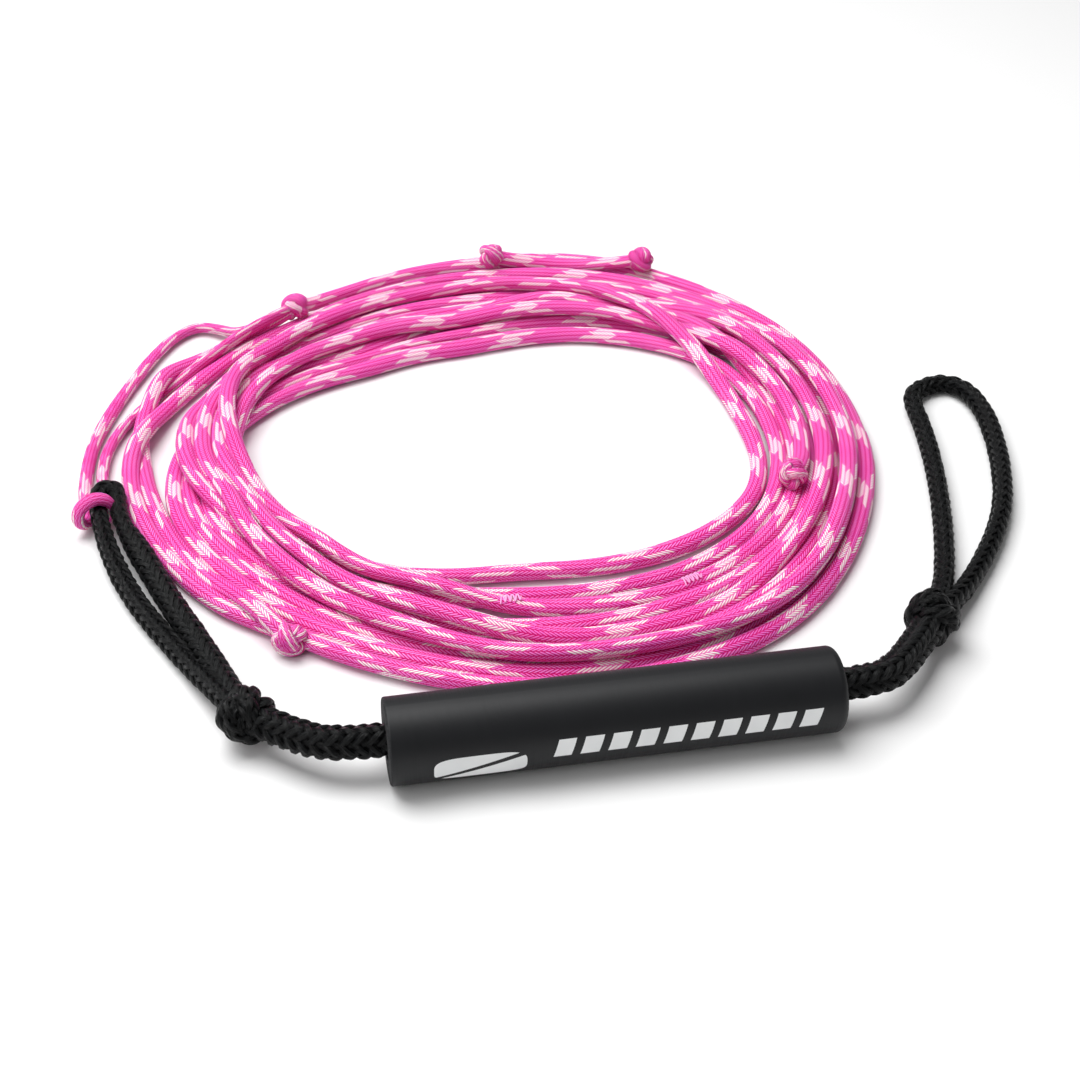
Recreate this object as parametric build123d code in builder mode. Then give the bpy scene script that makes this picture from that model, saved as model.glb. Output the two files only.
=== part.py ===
# %% Tow line with a foam float: one water-sports rope set, in millimetres.
# The float is a bored foam cylinder along X, standing on z = 0 with its middle over the origin.
# A short black bridle rope runs through the float.  A knot and an eye stand at each of its ends.
# The long pink line is hitched to one eye and lies in a loose coil behind the float (+Y).
import math
import os

from build123d import *

os.makedirs("parts", exist_ok=True)

# %% Driving dimensions
FLOAT_LENGTH = 166
FLOAT_DIAMETER = 32
FLOAT_CUT_EDGE = 1.0
FLOAT_ROUND_EDGE = 3.0
BORE_CLEARANCE = 0.3
BRIDLE_DIAMETER = 13.0  # the rope swollen by the tail buried in it
TAIL_DIAMETER = 8.0
EYE_DIAMETER = 8.5  # the same rope where nothing is buried in it
LEG_DIAMETER = 11.5
LINE_DIAMETER = 8.0
LINE_EYE_DIAMETER = 6.0  # the line pulled thin in its end eye
COIL_WIDTH = 338
COIL_HEIGHT = 16.0
COIL_EDGE = 6.5

# Every arc takes this share of the shorter run beside its corner.
ARC_SHARE = 0.45

# Places worked out from the driving dimensions
AXIS_Z = FLOAT_DIAMETER / 2
END_X = FLOAT_LENGTH / 2
EYE_Z = EYE_DIAMETER / 2
LEG_Z = LEG_DIAMETER / 2
THIN_Z = LINE_EYE_DIAMETER / 2
RAISED_Z = LINE_EYE_DIAMETER + EYE_Z  # an eye lying across the pink line
BRIDLE_KNOT = 12.4  # radius of each bridle knot
LINE_KNOT = 6.8  # radius of each knot in the line
KNOT_STEP = 0.5  # height of a knot above the floor
COIL_FACTOR = COIL_WIDTH / 338


# %% Helpers
def line_side(points):
    """Points beyond the float's line end: the first number is the distance out from its end face."""
    return [(-END_X - out, y, z) for out, y, z in points]


def boat_side(points):
    """Points beyond the float's boat end, in the same way."""
    return [(END_X + out, y, z) for out, y, z in points]


def on_coil(points):
    """Points of the coil's outline, stretched with it about the middle of its front edge."""
    return [(x * COIL_FACTOR, 24 + (y - 24) * COIL_FACTOR) for x, y in points]


def arc_radii(name, points):
    """The radius of the arc at each inner point of a route."""
    radii = []
    for before, here, after in zip(points, points[1:], points[2:]):
        run_in = Vector(*here) - Vector(*before)
        run_out = Vector(*after) - Vector(*here)
        half_turn = math.radians(run_in.get_angle(run_out)) / 2
        shorter = min(run_in.length, run_out.length)
        radii.append(ARC_SHARE * shorter / math.tan(half_turn))
    print(name, "arc radii:", [round(r, 1) for r in radii])
    return radii


def rope_tube(name, points, diameter, core=0.0):
    """A rope of one diameter along a route.  A core leaves room for the tail inside it."""
    with BuildPart() as rope:
        with BuildLine():
            route = FilletPolyline(*points, radius=arc_radii(name, points))
        with BuildSketch(Plane(origin=route @ 0, z_dir=route % 0)) as section:
            Circle(diameter / 2)
            if core:
                Circle(core / 2, mode=Mode.SUBTRACT)
        sweep()
    expected = section.sketch.area * route.length
    print(f"{name}: length {route.length:.1f}, volume {rope.part.volume / expected:.4f} of expected")
    return rope.part


def rope_ring(centre, along, half_width, half_height, diameter):
    """One turn of rope around something that runs through it in the direction along."""
    turn_plane = Plane(origin=centre, x_dir=Vector(*along).cross(Vector(0, 0, 1)), z_dir=along)
    with BuildPart() as ring:
        with BuildLine(turn_plane):
            turn = EllipticalCenterArc((0, 0), half_width, half_height, arc_size=360)
        with BuildSketch(Plane(origin=turn @ 0, z_dir=turn % 0)):
            Circle(diameter / 2)
        sweep()
    return ring.part


def overhand_knot(place, along, radius, strand):
    """The outer shape of a tightened knot: a ball of rope with two leaning turns standing proud of it."""
    ahead = Vector(*along).normalized()
    side = ahead.cross(Vector(0, 0, 1)).normalized()
    reach = radius - strand / 2
    with BuildPart() as knot:
        with Locations(place):
            Sphere(radius * 0.88)
        for lean, slip in ((0.45, 0.16), (-0.6, -0.2)):
            middle = Vector(*place) + ahead * (slip * radius)
            turn_plane = Plane(origin=middle, z_dir=ahead + side * lean)
            with Locations(turn_plane.location):
                Torus(reach, strand / 2)
    return knot.part


def save(solid, name):
    solid.label = name
    export_step(solid, f"parts/{name}.step")
    print(f"{name}: {solid.volume / 1000:.1f} cm3, {len(solid.solids())} solid")


# %% Float: a cylinder of closed-cell foam, cut square at the line end and rounded at the boat end
with BuildPart() as float_grip:
    with BuildSketch(Plane(origin=(-END_X, 0, AXIS_Z), z_dir=(1, 0, 0))):
        Circle(FLOAT_DIAMETER / 2)
        Circle(BRIDLE_DIAMETER / 2 + BORE_CLEARANCE, mode=Mode.SUBTRACT)
    extrude(amount=FLOAT_LENGTH)
    outer_edges = float_grip.edges().filter_by(GeomType.CIRCLE)
    outer_edges = outer_edges.filter_by(lambda edge: edge.radius > FLOAT_DIAMETER / 2 - 0.1).sort_by(Axis.X)
    cut_edge = outer_edges[0]
    round_edge = outer_edges[-1]
    fillet(cut_edge, FLOAT_CUT_EDGE)
    outer_edges = float_grip.edges().filter_by(GeomType.CIRCLE)
    outer_edges = outer_edges.filter_by(lambda edge: edge.radius > FLOAT_DIAMETER / 2 - 0.1).sort_by(Axis.X)
    fillet(outer_edges[-1], FLOAT_ROUND_EDGE)
save(float_grip.part, "float_grip")

# %% Bridle: straight through the float, then bending down to a knot on each side
line_knot_place = line_side([(48, 27.5, BRIDLE_KNOT + KNOT_STEP)])[0]
boat_knot_place = boat_side([(51, 38, BRIDLE_KNOT + KNOT_STEP)])[0]
bridle_route = [
    line_knot_place,
    *line_side([(30, 9, AXIS_Z - 2), (11, 0, AXIS_Z)]),
    *boat_side([(11, 0, AXIS_Z), (30, 9.5, AXIS_Z - 1)]),
    boat_knot_place,
]
save(rope_tube("bridle cover", bridle_route, BRIDLE_DIAMETER, TAIL_DIAMETER), "bridle_cover")
save(rope_tube("buried tail", bridle_route, TAIL_DIAMETER), "bridle_buried_tail")
save(overhand_knot(line_knot_place, (-0.8, 0.6, 0), BRIDLE_KNOT, EYE_DIAMETER), "line_end_knot")
save(overhand_knot(boat_knot_place, (0.55, 0.83, 0), BRIDLE_KNOT, EYE_DIAMETER), "boat_end_knot")

# %% Eye at the line end: one leg is swollen by its own tail, and the tip lies over the pink line
leg_top = line_side([(91.5, 166, RAISED_Z - 2)])[0]
leg_route = [
    line_knot_place,
    *line_side([(54, 50, 8), (62.5, 78, LEG_Z), (74, 110, LEG_Z), (84, 142, LEG_Z + 0.4)]),
    leg_top,
]
save(rope_tube("line end leg", leg_route, LEG_DIAMETER), "line_end_eye_leg")
eye_route = [
    leg_top,
    *line_side([(92, 180, RAISED_Z), (92, 188.5, RAISED_Z), (98.6, 192.5, RAISED_Z)]),
    *line_side([(105.2, 188.5, RAISED_Z), (104.5, 176, RAISED_Z), (101, 157, RAISED_Z - 2)]),
    *line_side([(95, 135, EYE_Z + 0.6), (87, 110, EYE_Z), (75, 85, EYE_Z), (64, 62, 6)]),
    *line_side([(50, 29, BRIDLE_KNOT + KNOT_STEP)]),
]
save(rope_tube("line end eye", eye_route, EYE_DIAMETER), "line_end_eye")

# %% Eye at the boat end, which drops over the tow hook
boat_eye_route = [
    boat_knot_place,
    *boat_side([(63, 58, 8), (73.5, 82, EYE_Z), (83, 110, EYE_Z), (91, 138, EYE_Z), (97, 164, EYE_Z)]),
    *boat_side([(101, 186, EYE_Z), (103, 203, EYE_Z), (106, 214, EYE_Z), (115, 221, EYE_Z)]),
    *boat_side([(126, 222, EYE_Z), (132.5, 213, EYE_Z), (134, 196, EYE_Z), (130, 171, EYE_Z)]),
    *boat_side([(123, 145, EYE_Z), (114, 120, EYE_Z), (101, 97, EYE_Z), (84, 74, EYE_Z), (69, 56, 7)]),
    *boat_side([(53, 39, BRIDLE_KNOT + KNOT_STEP)]),
]
save(rope_tube("boat end eye", boat_eye_route, EYE_DIAMETER), "boat_end_eye")

# %% Hitch: the pink line's end eye turns round one leg of the black eye and leaves as two legs
hitch_place = line_side([(103.5, 176, RAISED_Z)])[0]
save(
    rope_ring(hitch_place, (-0.2, 0.98, 0), 7.8, 7.2, LINE_EYE_DIAMETER),
    "main_line_hitch",
)
outer_leg = [
    *line_side([(107, 177, THIN_Z), (109, 197, THIN_Z), (108.5, 218, THIN_Z), (105.5, 242, THIN_Z)]),
    (-181, 267, THIN_Z), (-171, 294, THIN_Z), (-160, 319, THIN_Z), (-150, 336, THIN_Z),
    (-139, 344, THIN_Z), (-129, 338, THIN_Z + 1), (-123, 325, THIN_Z + 4),
]
inner_leg = [
    *line_side([(99, 177, THIN_Z), (101, 197, THIN_Z), (102, 216, THIN_Z), (99, 237, THIN_Z)]),
    (-173, 259, THIN_Z),
    (-157, 280, THIN_Z),
    (-136, 296, THIN_Z + 5),
]
save(rope_tube("line eye outer leg", outer_leg, LINE_EYE_DIAMETER), "line_eye_outer_leg")
save(rope_tube("line eye inner leg", inner_leg, LINE_EYE_DIAMETER), "line_eye_inner_leg")

# %% Coil: one closed ring of the outer shape of the wound line, wider where the turns fan out
outer_outline = on_coil(
    [
        (157, 212), (151, 272), (126, 331), (78, 376), (15, 391), (-47, 376), (-96, 348), (-138, 310),
        (-163, 266), (-172, 213), (-162, 160), (-146, 119), (-122, 83), (-78, 48), (-34, 30), (12, 24),
        (48, 28), (78, 44), (103, 69), (123, 97), (138, 128), (150, 163),
    ]
)
inner_outline = on_coil(
    [
        (103, 205), (93, 250), (64, 282), (10, 292), (-52, 286), (-97, 262), (-118, 214),
        (-102, 165), (-71, 126), (-33, 116), (18, 115), (58, 124), (92, 152),
    ]
)
with BuildPart() as main_line_coil:
    with BuildSketch():
        with BuildLine():
            Spline(*outer_outline, periodic=True)
        make_face()
        with BuildLine():
            Spline(*inner_outline, periodic=True)
        make_face(mode=Mode.SUBTRACT)
    extrude(amount=COIL_HEIGHT)
    fillet(main_line_coil.edges().group_by(Axis.Z)[-1], COIL_EDGE)
save(main_line_coil.part, "main_line_coil")

# %% Knots that hold the take-off loops, and the hitch that ties the coil
line_knots = {
    "take_off_knot_1": ((-90, 338, 13), (0.9, 0.4, 0)),
    "take_off_knot_2": ((15, 376, 13), (1, 0, 0)),
    "take_off_knot_3": ((91, 358, 13), (0.85, -0.5, 0)),
    "take_off_knot_4": ((-112, 77, LINE_KNOT), (0.75, -0.66, 0)),
    "coil_hitch": ((110, 146, 13), (0.5, 0.86, 0)),
}
for name, (place, along) in line_knots.items():
    save(overhand_knot(place, along, LINE_KNOT, LINE_EYE_DIAMETER - 1), name)

# %% Whipped stitching that locks a splice in the line
stitches = {
    "splice_stitch_1": ((-24, 80, 12), (1, -0.03, 0)),
    "splice_stitch_2": ((49, 91, 12), (0.93, 0.35, 0)),
}
for name, (place, along) in stitches.items():
    with BuildPart() as stitch:
        with BuildSketch(Plane(origin=place, z_dir=along)):
            Circle(LINE_DIAMETER / 2 + 0.4)
        extrude(amount=4, both=True)
    save(stitch.part, name)
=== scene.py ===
# %% [markdown]
# # A tow line with a foam float, built as rope
# The float, its bore and the places of every rope come from the CAD frame.  Here the ropes get
# their braid, the foam gets its skin, and the coil gets its turns.  Distances are in metres,
# and sizes that belong to a rope are written in millimetres and turned into metres by MM.

# %% Open the frame
import math
import bpy
import numpy as np
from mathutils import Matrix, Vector


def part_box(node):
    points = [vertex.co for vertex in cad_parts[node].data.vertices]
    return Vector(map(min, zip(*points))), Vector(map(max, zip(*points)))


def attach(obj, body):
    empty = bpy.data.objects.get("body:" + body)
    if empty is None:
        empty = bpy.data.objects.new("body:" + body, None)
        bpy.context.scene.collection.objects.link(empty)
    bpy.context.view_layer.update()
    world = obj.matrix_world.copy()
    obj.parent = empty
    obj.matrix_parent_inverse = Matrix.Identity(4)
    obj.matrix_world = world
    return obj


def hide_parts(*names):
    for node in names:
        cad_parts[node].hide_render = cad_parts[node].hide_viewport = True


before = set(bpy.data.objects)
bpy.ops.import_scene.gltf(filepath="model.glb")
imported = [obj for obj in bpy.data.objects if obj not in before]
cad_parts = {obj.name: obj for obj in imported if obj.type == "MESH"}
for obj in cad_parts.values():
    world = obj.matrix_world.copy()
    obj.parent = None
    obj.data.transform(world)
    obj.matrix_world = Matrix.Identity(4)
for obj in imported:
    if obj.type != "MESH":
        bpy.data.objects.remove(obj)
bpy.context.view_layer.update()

MM = 0.001

# %% [markdown]
# ## Sizes
# A tow line is sold by the thickness of its rope.  The float's size can be read from the frame,
# but a rope's thickness is hard to read from a bent tube's box, so it is written here once, and
# everything below is worked out from it.

# %% Sizes of the float and the ropes
FLOAT_LOW, FLOAT_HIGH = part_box("float_grip")
FLOAT_RADIUS = (FLOAT_HIGH[2] - FLOAT_LOW[2]) / 2
FLOAT_END = FLOAT_HIGH[0]
AXIS_Z = FLOAT_RADIUS / MM
END_X = FLOAT_END / MM
BRIDLE = 13.0  # the black rope where its tail is buried in it
EYE = 8.5  # the black rope where nothing is buried
LEG = 11.5  # the thick leg of the eye at the line end
LINE = 8.0  # the pink line
LINE_EYE = 6.0  # the pink line, pulled thin in its own eye
print(f"float {2 * END_X:.0f} mm long, {2 * AXIS_Z:.0f} mm across")

# %% [markdown]
# ## Camera
# A product is usually shot from about 35 degrees above with a longish lens, so that the near
# and far sides of the coil keep almost the same scale.  A camera can be turned by three angles or
# aimed at a point.  Aiming is easier to check, so the point comes first and the angles follow.

# %% Camera
AIM = Vector((-0.003, 0.135, 0.0))
AZIMUTH, ELEVATION, DISTANCE = math.radians(10.34), math.radians(35.0), 0.794
forward = Vector(
    (
        math.cos(ELEVATION) * math.sin(AZIMUTH),
        math.cos(ELEVATION) * math.cos(AZIMUTH),
        -math.sin(ELEVATION),
    )
)
camera_data = bpy.data.cameras.new("camera")
camera_data.lens = 62.67
camera_data.sensor_width = 36.0
camera_data.clip_start = 0.01
camera = bpy.data.objects.new("camera", camera_data)
camera.location = AIM - forward * DISTANCE
camera.rotation_euler = forward.to_track_quat("-Z", "Y").to_euler()
bpy.context.collection.objects.link(camera)
bpy.context.scene.camera = camera
print("camera at", [round(v, 3) for v in camera.location])

# %% [markdown]
# ## Routes
# A rope on a table lies in smooth curves that its own stiffness sets.  A route could be drawn
# point by point or found by a rope simulation.  Here each is a short list of given points,
# the same ones as in the CAD model, and a NURBS spline with these control points gives the line
# that the rope follows: few numbers, no corners, and the same result each time.


# %% Helpers for routes
UP = (0.0, 0.0, 1.0)


def line_side(points):
    """Points beyond the float's line end: the first number is the distance out from its end face."""
    return [(-END_X - out, y, z) for out, y, z in points]


def boat_side(points):
    """Points beyond the float's boat end, in the same way."""
    return [(END_X + out, y, z) for out, y, z in points]


def spline_line(points):
    """The centreline in mm of a NURBS spline that has these control points, read from the spline."""
    curve = bpy.data.curves.new("route", "CURVE")
    curve.dimensions = "3D"
    spline = curve.splines.new("NURBS")
    spline.points.add(len(points) - 1)
    for control, (x, y, z) in zip(spline.points, points):
        control.co = (x * MM, y * MM, z * MM, 1.0)
    spline.order_u = 3
    spline.use_endpoint_u = True
    spline.resolution_u = 8
    holder = bpy.data.objects.new("route", curve)
    bpy.context.collection.objects.link(holder)
    mesh = bpy.data.meshes.new_from_object(holder)
    found = np.empty(len(mesh.vertices) * 3)
    mesh.vertices.foreach_get("co", found)
    bpy.data.objects.remove(holder)
    bpy.data.curves.remove(curve)
    bpy.data.meshes.remove(mesh)
    return found.reshape(-1, 3) / MM


def travelled(line):
    """The distance along a line at each of its points."""
    steps = np.linalg.norm(np.diff(line, axis=0), axis=1)
    return np.concatenate([[0.0], np.cumsum(steps)])


def even_steps(line, step):
    """Points on the line about one step apart, with the distance along it at each."""
    along = travelled(line)
    count = max(2, int(round(along[-1] / step)) + 1)
    wanted = np.linspace(0.0, along[-1], count)
    return np.stack([np.interp(wanted, along, line[:, axis]) for axis in range(3)], axis=1), wanted


def turning_frames(line, closed=False):
    """Two directions across the line at each point, carried along it without twist."""
    ahead = np.gradient(line, axis=0)
    if closed:
        ahead[0] = ahead[-1] = line[1] - line[-2]
    ahead /= np.linalg.norm(ahead, axis=1)[:, None]
    first = np.cross(ahead[0], UP)
    first /= np.linalg.norm(first)
    sides = [first]
    for direction in ahead[1:]:
        side = sides[-1] - direction * np.dot(sides[-1], direction)
        sides.append(side / np.linalg.norm(side))
    sides = np.array(sides)
    return sides, np.cross(ahead, sides)


test_run = spline_line([(0, 0, 0), (50, 0, 0), (100, 0, 0)])
print(f"a straight run of 100 mm measures {travelled(test_run)[-1]:.1f} mm")


# %% Route points, in mm
# A braid's bundles stand a little proud of its nominal thickness, so a rope on the floor is kept
# that much higher.
RAISED = LINE_EYE + EYE / 2
LINE_EYE_LOW = LINE_EYE / 2 + 0.3
LEG_LOW = LEG / 2 + 0.7
EYE_LOW = EYE / 2 + 0.5
line_knot_at = line_side([(48, 27.5, 12.9)])[0]
boat_knot_at = boat_side([(51, 38, 12.9)])[0]
bridle_route = [
    line_knot_at,
    *line_side([(30, 9, AXIS_Z - 2), (11, 0, AXIS_Z)]),
    *boat_side([(11, 0, AXIS_Z), (30, 9.5, AXIS_Z - 1)]),
    boat_knot_at,
]
line_eye_route = [
    line_knot_at,
    *line_side([(54, 50, 8), (62.5, 78, LEG_LOW), (74, 110, LEG_LOW), (84, 142, LEG_LOW + 0.4)]),
    *line_side([(92.5, 166, RAISED - 2), (94.5, 180, RAISED), (94, 189, RAISED), (98.6, 192.8, RAISED)]),
    *line_side([(103, 189, RAISED), (102.4, 176, RAISED), (99.8, 157, RAISED - 2)]),
    *line_side([(94.4, 135, EYE_LOW + 0.6), (86, 110, EYE_LOW), (74.5, 85, EYE_LOW), (64, 62, 6)]),
    *line_side([(50, 29, 12.9)]),
]
boat_eye_route = [
    boat_knot_at,
    *boat_side([(63, 58, 8), (73.5, 82, EYE_LOW), (83, 110, EYE_LOW), (91, 138, EYE_LOW)]),
    *boat_side([(97, 164, EYE_LOW), (101, 186, EYE_LOW), (103, 203, EYE_LOW), (106, 214, EYE_LOW)]),
    *boat_side([(115, 221, EYE_LOW), (126, 222, EYE_LOW), (132.5, 213, EYE_LOW), (134, 196, EYE_LOW)]),
    *boat_side([(130, 171, EYE_LOW), (123, 145, EYE_LOW), (114, 120, EYE_LOW), (101, 97, EYE_LOW)]),
    *boat_side([(84, 74, EYE_LOW), (69, 56, 7), (53, 39, 12.9)]),
]
outer_leg = [
    *line_side([(107, 177, LINE_EYE_LOW), (109, 197, LINE_EYE_LOW), (108.5, 218, LINE_EYE_LOW)]),
    *line_side([(105.5, 242, LINE_EYE_LOW)]),
    (-181, 267, LINE_EYE_LOW), (-171, 294, LINE_EYE_LOW), (-160, 319, LINE_EYE_LOW),
    (-150, 336, LINE_EYE_LOW), (-139, 344, LINE_EYE_LOW), (-129, 338, LINE_EYE_LOW + 1),
    (-119, 327, LINE_EYE_LOW + 3), (-104, 332, 10), (-92, 337, 13),
]
inner_leg = [
    *line_side([(99, 177, LINE_EYE_LOW), (101, 197, LINE_EYE_LOW), (102, 216, LINE_EYE_LOW)]),
    *line_side([(99, 237, LINE_EYE_LOW)]),
    (-173, 259, LINE_EYE_LOW), (-157, 280, LINE_EYE_LOW), (-136, 300, LINE_EYE_LOW + 5),
    (-112, 322, 13), (-92, 336, 13.5),
]
hitch_turn = line_side([(111, 171, 7), (110, 172, 14), (103.5, 175, 17), (97.5, 178, 13), (97, 178, 7)])
line_eye_points = outer_leg[::-1] + hitch_turn + inner_leg
routes = (bridle_route, line_eye_route, boat_eye_route, line_eye_points)
print("points of the routes:", [len(route) for route in routes])

# %% [markdown]
# ## The coil
# Someone coiled this line by hand, so its turns differ in size, cross and fan out.  A neat
# spiral would look machine-wound, and a full rope simulation is slow and hard to steer.  So each
# turn has its place across the bundle, from 0 at the inner edge to 1 at the outer one, and its
# layer, at six stations around the coil.

# %% Coil outline and turns
COIL_MIDDLE = np.array([-12.0, 208.0])
OUTLINE_TURNS = np.radians(np.arange(0, 361, 30))
OUTER_REACH = [165, 176, 187, 179, 161, 160, 164, 160, 164, 179, 182, 166, 165]
INNER_REACH = [117, 115, 101, 87, 92, 105, 110, 104, 104, 98, 107, 122, 117]
# Stations: far left, far side, right, near right, near side, left (degrees anticlockwise from +X)
STATIONS = (125, 82, 5, -55, -97, -165)
# Each row is a turn, and each pair is its place and its layer at a station.
TURNS = [
    [(0.97, 1.6), (1.00, 1.2), (1.00, 0.0), (0.99, 0.0), (0.98, 0.0), (1.00, 0.0)],
    [(0.82, 0.4), (0.83, 0.0), (0.90, 0.0), (0.89, 0.0), (0.88, 0.0), (0.66, 0.0)],
    [(0.15, 0.0), (0.32, 0.0), (0.76, 0.0), (0.76, 0.0), (0.79, 0.0), (0.58, 0.0)],
    [(0.06, 0.0), (0.18, 0.0), (0.53, 0.0), (0.52, 0.0), (0.53, 0.0), (0.50, 0.3)],
    [(0.00, 0.3), (0.02, 0.0), (0.30, 0.0), (0.30, 0.0), (0.24, 0.0), (0.42, 0.4)],
    [(0.70, 1.4), (0.68, 1.0), (0.88, 1.1), (0.92, 1.2), (0.84, 1.2), (0.30, 1.2)],
    [(0.58, 1.3), (0.54, 0.6), (0.66, 1.1), (0.70, 1.2), (0.59, 1.2), (0.16, 1.3)],
    [(0.44, 1.3), (0.42, 0.4), (0.42, 1.1), (0.46, 1.2), (0.33, 1.1), (0.02, 1.3)],
    [(0.60, 2.3), (0.62, 2.4), (0.00, 0.3), (0.10, 0.0), (0.00, 0.0), (0.24, 0.0)],
    [(0.26, 1.2), (0.20, 1.2), (0.44, 1.4)],
]
# Where each knot is, in mm, and the direction of the rope there.
KNOT_PLACES = {
    "take_off_knot_1": ((-90, 338, 13), (0.9, 0.4, 0)),
    "take_off_knot_2": ((15, 376, 13), (1, 0, 0)),
    "take_off_knot_3": ((91, 358, 13), (0.85, -0.5, 0)),
    "take_off_knot_4": ((-112, 77, 6.8), (0.75, -0.66, 0)),
    "coil_hitch": ((110, 146, 13), (0.5, 0.86, 0)),
}
left_second = [
    (-112, 77, 6.8), (-125, 95, 4), (-140, 118, 4), (-153, 144, 4), (-161, 172, 4),
    (-168, 205, 4), (-170, 225, 4), (-168, 248, 4), (-163, 272, 4), (-152, 293, 5),
    (-133, 312, 8), (-112, 327, 11), (-90, 338, 13),
]
far_second = [
    (15, 376, 13), (32, 384, 9), (53, 382, 8), (73, 372, 9), (91, 358, 13),
]
print("coil:", len(TURNS), "turns with", len(KNOT_PLACES), "knots")

# %% The turns before they settle
DEGREES_APART = 3.0
PAST_LAST_STATION = 38.0  # how far the last turn goes on to its hitch, in degrees
LAYER_RISE = 0.9 * LINE  # rope on rope sinks a little into the gap below
EASING = np.hanning(9) / np.hanning(9).sum()


def coil_start():
    """The turns as they are dropped, a point every few degrees, eased between stations."""
    angles, places, layers = [], [], []
    for number, turn in enumerate(TURNS):
        for station, (place, layer) in zip(STATIONS, turn):
            angles.append(station - 360 * number)
            places.append(place)
            layers.append(layer)
    steps = np.arange(angles[0], angles[-1] - PAST_LAST_STATION, -DEGREES_APART)
    turned = -np.array(angles, float)
    place = np.interp(-steps, turned, places)
    layer = np.interp(-steps, turned, layers)
    margin = len(EASING) // 2
    place = np.convolve(np.pad(place, margin, mode="edge"), EASING, mode="valid")
    layer = np.convolve(np.pad(layer, margin, mode="edge"), EASING, mode="valid")
    round_angle = np.radians(steps % 360)
    inner = np.interp(round_angle, OUTLINE_TURNS, INNER_REACH)
    outer = np.interp(round_angle, OUTLINE_TURNS, OUTER_REACH)
    reach = inner + place * (outer - inner)
    x = COIL_MIDDLE[0] + reach * np.cos(round_angle)
    y = COIL_MIDDLE[1] + reach * np.sin(round_angle)
    points = np.stack([x, y, LINE / 2 + layer * LAYER_RISE], axis=1)
    points[0] = KNOT_PLACES["take_off_knot_1"][0]
    points[-1] = KNOT_PLACES["coil_hitch"][0]
    return points


dropped = coil_start()
print("dropped coil:", len(dropped), "points,", round(travelled(dropped)[-1] / 1000, 2), "m")

# %% [markdown]
# ## Letting the rope down
# A dropped coil settles: turns push each other a rope's width apart, bend evenly and come to rest
# on the floor or on each other.  A rigid-body or cloth simulation could do it, but a few lines of
# arithmetic on the points of the line give the same picture in seconds and never differ.

# %% Settling
FALL = 0.15  # mm sunk in each round
PUSH = 0.5  # share of an overlap that is parted in each round
STRAIGHTEN = 0.3  # share of the way to the middle of its neighbours that a point moves
HOMEWARD = 0.08  # share of the way back to its own place that a point moves
NEIGHBOURS = 4  # points this near along one rope don't push each other
CLEARANCE = 1.0  # mm kept from the ropes that stay where they are


def settle(chains, fixed, rounds):
    """Lets the ropes down until they lie on the floor or each other, their own widths apart.
    chains and fixed are lists of (points in mm, thickness), and the ends of a chain don't move."""
    points = np.concatenate([chain for chain, _ in chains + fixed])
    thick = np.concatenate([np.full(len(chain), size) for chain, size in chains + fixed])
    owner = np.concatenate([np.full(len(chain), n) for n, (chain, _) in enumerate(chains + fixed)])
    moving = owner < len(chains)
    number = np.arange(len(points))
    starts = np.flatnonzero(np.diff(owner, prepend=-1))
    ends = np.append(starts[1:], len(points)) - 1
    moving[starts] = moving[ends] = False
    home = points.copy()
    same_rope = owner[:, None] == owner[None, :]
    near = same_rope & (np.abs(number[:, None] - number[None, :]) <= NEIGHBOURS)
    wanted = np.where(near, 0.0, (thick[:, None] + thick[None, :]) / 2)
    wanted[~moving] = 0.0
    for _ in range(rounds):
        points[moving, 2] -= FALL
        offset = points[:, None, :] - points[None, :, :]
        distance = np.sqrt((offset**2).sum(axis=2)) + 1e-6
        push = np.where(distance < wanted, (wanted - distance) / distance, 0.0)
        touching = np.maximum((push > 0).sum(axis=1), 1)
        shift = PUSH * (push[:, :, None] * offset).sum(axis=1) / np.sqrt(touching)[:, None]
        points[moving] += shift[moving]
        free = moving[1:-1]
        for _ in range(2):
            middle = (points[:-2] + points[2:]) / 2
            smoothed = points[1:-1] + STRAIGHTEN * (middle - points[1:-1])
            points[1:-1][free] = smoothed[free]
        points[moving, :2] += HOMEWARD * (home[moving, :2] - points[moving, :2])
        points[moving, 2] = np.maximum(points[moving, 2], thick[moving] / 2)
    return [points[a : b + 1] for a, b in zip(starts, ends)][: len(chains)]


line_eye_line = spline_line(line_eye_points)
settled = settle(
    [
        (dropped, LINE + 0.3),
        (even_steps(spline_line(left_second), 8.0)[0], LINE),
        (even_steps(spline_line(far_second), 8.0)[0], LINE),
    ],
    [
        (even_steps(spline_line(bridle_route), 8.0)[0], BRIDLE + CLEARANCE),
        (even_steps(spline_line(line_eye_route), 8.0)[0], LEG + CLEARANCE),
        (even_steps(line_eye_line, 6.0)[0][8:-8], LINE_EYE + CLEARANCE),
    ],
    90,
)
coil_points, left_points, far_points = settled
print(f"settled coil: {len(coil_points)} points, top at {coil_points[:, 2].max() + LINE / 2:.1f} mm")

# %% [markdown]
# ## Surfaces of rope
# A rope's surface is a grid of rings along its line.  It could be a bevelled curve, but a grid
# made in code can be raised and lowered point by point, and its UV map can carry the distance
# along the rope and the turn around it, which the braid's colours need.


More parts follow.
